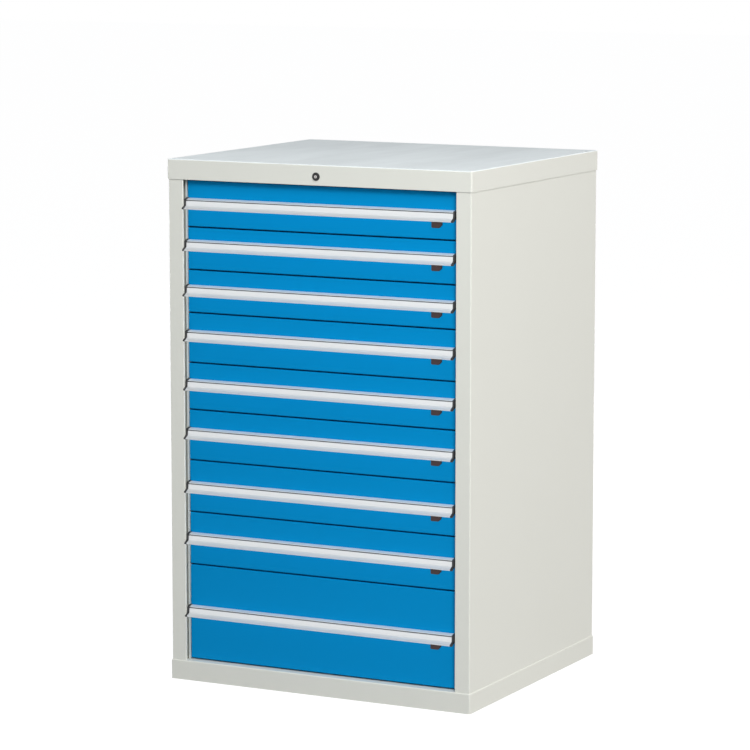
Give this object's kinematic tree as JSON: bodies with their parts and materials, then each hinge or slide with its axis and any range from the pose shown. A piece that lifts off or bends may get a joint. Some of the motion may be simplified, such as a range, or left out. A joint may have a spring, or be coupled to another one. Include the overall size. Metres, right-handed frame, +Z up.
{
  "type": "tool cabinet",
  "caption": "Free-standing steel tool cabinet with full-width pull-out drawers of several heights, extruded handles, thumb latches and a central key lock.",
  "frame": {"origin": "middle of the footprint, on the floor", "axes": "+X to the right as seen from the front, the front faces -Y, +Z up"},
  "size_m": [0.7, 0.627, 1.1],
  "materials": {
    "housing_paint": "satin powder coat, light warm grey",
    "drawer_paint": "satin powder coat, blue",
    "aluminium": "anodised, fine satin",
    "cap_plastic": "moulded black plastic",
    "latch_plastic": "moulded dark brown plastic",
    "zinc": "bright zinc plate",
    "lock_ring": "black",
    "lock_metal": "nickel plate",
    "screw_metal": "zinc plate"
  },
  "bodies": {
    "housing": {"top_cover": "housing_paint", "left_side_panel": "housing_paint", "right_side_panel": "housing_paint", "back_panel": "housing_paint", "base_frame": "housing_paint", "bottom_panel": "housing_paint", "front_frame": "housing_paint", "uprights": "zinc", "cabinet_rails": "zinc", "panel_screws": "screw_metal", "lock_barrel": "lock_ring", "lock_bar_guides": "zinc"},
    "drawer_1": {"drawer_1_box": "drawer_paint", "drawer_1_handle": "aluminium", "drawer_1_end_caps": "cap_plastic"},
    "carriages_1": {"drawer_1_carriages": "zinc"},
    "latch_1": {"drawer_1_latch": "latch_plastic"},
    "drawer_2": {"drawer_2_box": "drawer_paint", "drawer_2_handle": "aluminium", "drawer_2_end_caps": "cap_plastic"},
    "carriages_2": {"drawer_2_carriages": "zinc"},
    "latch_2": {"drawer_2_latch": "latch_plastic"},
    "drawer_3": {"drawer_3_box": "drawer_paint", "drawer_3_handle": "aluminium", "drawer_3_end_caps": "cap_plastic"},
    "carriages_3": {"drawer_3_carriages": "zinc"},
    "latch_3": {"drawer_3_latch": "latch_plastic"},
    "drawer_4": {"drawer_4_box": "drawer_paint", "drawer_4_handle": "aluminium", "drawer_4_end_caps": "cap_plastic"},
    "carriages_4": {"drawer_4_carriages": "zinc"},
    "latch_4": {"drawer_4_latch": "latch_plastic"},
    "drawer_5": {"drawer_5_box": "drawer_paint", "drawer_5_handle": "aluminium", "drawer_5_end_caps": "cap_plastic"},
    "carriages_5": {"drawer_5_carriages": "zinc"},
    "latch_5": {"drawer_5_latch": "latch_plastic"},
    "drawer_6": {"drawer_6_box": "drawer_paint", "drawer_6_handle": "aluminium", "drawer_6_end_caps": "cap_plastic"},
    "carriages_6": {"drawer_6_carriages": "zinc"},
    "latch_6": {"drawer_6_latch": "latch_plastic"},
    "drawer_7": {"drawer_7_box": "drawer_paint", "drawer_7_handle": "aluminium", "drawer_7_end_caps": "cap_plastic"},
    "carriages_7": {"drawer_7_carriages": "zinc"},
    "latch_7": {"drawer_7_latch": "latch_plastic"},
    "drawer_8": {"drawer_8_box": "drawer_paint", "drawer_8_handle": "aluminium", "drawer_8_end_caps": "cap_plastic"},
    "carriages_8": {"drawer_8_carriages": "zinc"},
    "latch_8": {"drawer_8_latch": "latch_plastic"},
    "drawer_9": {"drawer_9_box": "drawer_paint", "drawer_9_handle": "aluminium", "drawer_9_end_caps": "cap_plastic"},
    "carriages_9": {"drawer_9_carriages": "zinc"},
    "latch_9": {"drawer_9_latch": "latch_plastic"},
    "lock": {"lock_plug": "lock_metal", "lock_rod": "zinc"},
    "lock_bar": {"lock_bar": "zinc"}
  },
  "joints": [
    {"name": "drawer_1_slide", "type": "slide", "parent": "housing", "child": "drawer_1", "axis": [0, -1, 0], "range_m": [0, 0.52]},
    {"name": "carriages_1_slide", "type": "slide", "parent": "housing", "child": "carriages_1", "axis": [0, -1, 0], "range_m": [0, 0.26]},
    {"name": "latch_1_slide", "type": "slide", "parent": "drawer_1", "child": "latch_1", "axis": [1, 0, 0], "range_m": [0, 0.006], "stiffness_N_per_m": 150, "springref_m": 0.006},
    {"name": "drawer_2_slide", "type": "slide", "parent": "housing", "child": "drawer_2", "axis": [0, -1, 0], "range_m": [0, 0.52]},
    {"name": "carriages_2_slide", "type": "slide", "parent": "housing", "child": "carriages_2", "axis": [0, -1, 0], "range_m": [0, 0.26]},
    {"name": "latch_2_slide", "type": "slide", "parent": "drawer_2", "child": "latch_2", "axis": [1, 0, 0], "range_m": [0, 0.006], "stiffness_N_per_m": 150, "springref_m": 0.006},
    {"name": "drawer_3_slide", "type": "slide", "parent": "housing", "child": "drawer_3", "axis": [0, -1, 0], "range_m": [0, 0.52]},
    {"name": "carriages_3_slide", "type": "slide", "parent": "housing", "child": "carriages_3", "axis": [0, -1, 0], "range_m": [0, 0.26]},
    {"name": "latch_3_slide", "type": "slide", "parent": "drawer_3", "child": "latch_3", "axis": [1, 0, 0], "range_m": [0, 0.006], "stiffness_N_per_m": 150, "springref_m": 0.006},
    {"name": "drawer_4_slide", "type": "slide", "parent": "housing", "child": "drawer_4", "axis": [0, -1, 0], "range_m": [0, 0.52]},
    {"name": "carriages_4_slide", "type": "slide", "parent": "housing", "child": "carriages_4", "axis": [0, -1, 0], "range_m": [0, 0.26]},
    {"name": "latch_4_slide", "type": "slide", "parent": "drawer_4", "child": "latch_4", "axis": [1, 0, 0], "range_m": [0, 0.006], "stiffness_N_per_m": 150, "springref_m": 0.006},
    {"name": "drawer_5_slide", "type": "slide", "parent": "housing", "child": "drawer_5", "axis": [0, -1, 0], "range_m": [0, 0.52]},
    {"name": "carriages_5_slide", "type": "slide", "parent": "housing", "child": "carriages_5", "axis": [0, -1, 0], "range_m": [0, 0.26]},
    {"name": "latch_5_slide", "type": "slide", "parent": "drawer_5", "child": "latch_5", "axis": [1, 0, 0], "range_m": [0, 0.006], "stiffness_N_per_m": 150, "springref_m": 0.006},
    {"name": "drawer_6_slide", "type": "slide", "parent": "housing", "child": "drawer_6", "axis": [0, -1, 0], "range_m": [0, 0.52]},
    {"name": "carriages_6_slide", "type": "slide", "parent": "housing", "child": "carriages_6", "axis": [0, -1, 0], "range_m": [0, 0.26]},
    {"name": "latch_6_slide", "type": "slide", "parent": "drawer_6", "child": "latch_6", "axis": [1, 0, 0], "range_m": [0, 0.006], "stiffness_N_per_m": 150, "springref_m": 0.006},
    {"name": "drawer_7_slide", "type": "slide", "parent": "housing", "child": "drawer_7", "axis": [0, -1, 0], "range_m": [0, 0.52]},
    {"name": "carriages_7_slide", "type": "slide", "parent": "housing", "child": "carriages_7", "axis": [0, -1, 0], "range_m": [0, 0.26]},
    {"name": "latch_7_slide", "type": "slide", "parent": "drawer_7", "child": "latch_7", "axis": [1, 0, 0], "range_m": [0, 0.006], "stiffness_N_per_m": 150, "springref_m": 0.006},
    {"name": "drawer_8_slide", "type": "slide", "parent": "housing", "child": "drawer_8", "axis": [0, -1, 0], "range_m": [0, 0.52]},
    {"name": "carriages_8_slide", "type": "slide", "parent": "housing", "child": "carriages_8", "axis": [0, -1, 0], "range_m": [0, 0.26]},
    {"name": "latch_8_slide", "type": "slide", "parent": "drawer_8", "child": "latch_8", "axis": [1, 0, 0], "range_m": [0, 0.006], "stiffness_N_per_m": 150, "springref_m": 0.006},
    {"name": "drawer_9_slide", "type": "slide", "parent": "housing", "child": "drawer_9", "axis": [0, -1, 0], "range_m": [0, 0.52]},
    {"name": "carriages_9_slide", "type": "slide", "parent": "housing", "child": "carriages_9", "axis": [0, -1, 0], "range_m": [0, 0.26]},
    {"name": "latch_9_slide", "type": "slide", "parent": "drawer_9", "child": "latch_9", "axis": [1, 0, 0], "range_m": [0, 0.006], "stiffness_N_per_m": 150, "springref_m": 0.006},
    {"name": "lock_turn", "type": "hinge", "parent": "housing", "child": "lock", "pos_m": [0, -0.31, 1.076], "axis": [0, 1, 0], "range_deg": [0, 90]},
    {"name": "lock_bar_slide", "type": "slide", "parent": "housing", "child": "lock_bar", "axis": [0, 0, -1], "range_m": [0, 0.01697]}
  ],
  "couplings": [
    {"joint": "carriages_1_slide", "follows": "drawer_1_slide", "ratio": 0.5},
    {"joint": "carriages_2_slide", "follows": "drawer_2_slide", "ratio": 0.5},
    {"joint": "carriages_3_slide", "follows": "drawer_3_slide", "ratio": 0.5},
    {"joint": "carriages_4_slide", "follows": "drawer_4_slide", "ratio": 0.5},
    {"joint": "carriages_5_slide", "follows": "drawer_5_slide", "ratio": 0.5},
    {"joint": "carriages_6_slide", "follows": "drawer_6_slide", "ratio": 0.5},
    {"joint": "carriages_7_slide", "follows": "drawer_7_slide", "ratio": 0.5},
    {"joint": "carriages_8_slide", "follows": "drawer_8_slide", "ratio": 0.5},
    {"joint": "carriages_9_slide", "follows": "drawer_9_slide", "ratio": 0.5},
    {"joint": "lock_turn", "follows": "lock_bar_slide", "rad_per_m": 92.55}
  ]
}
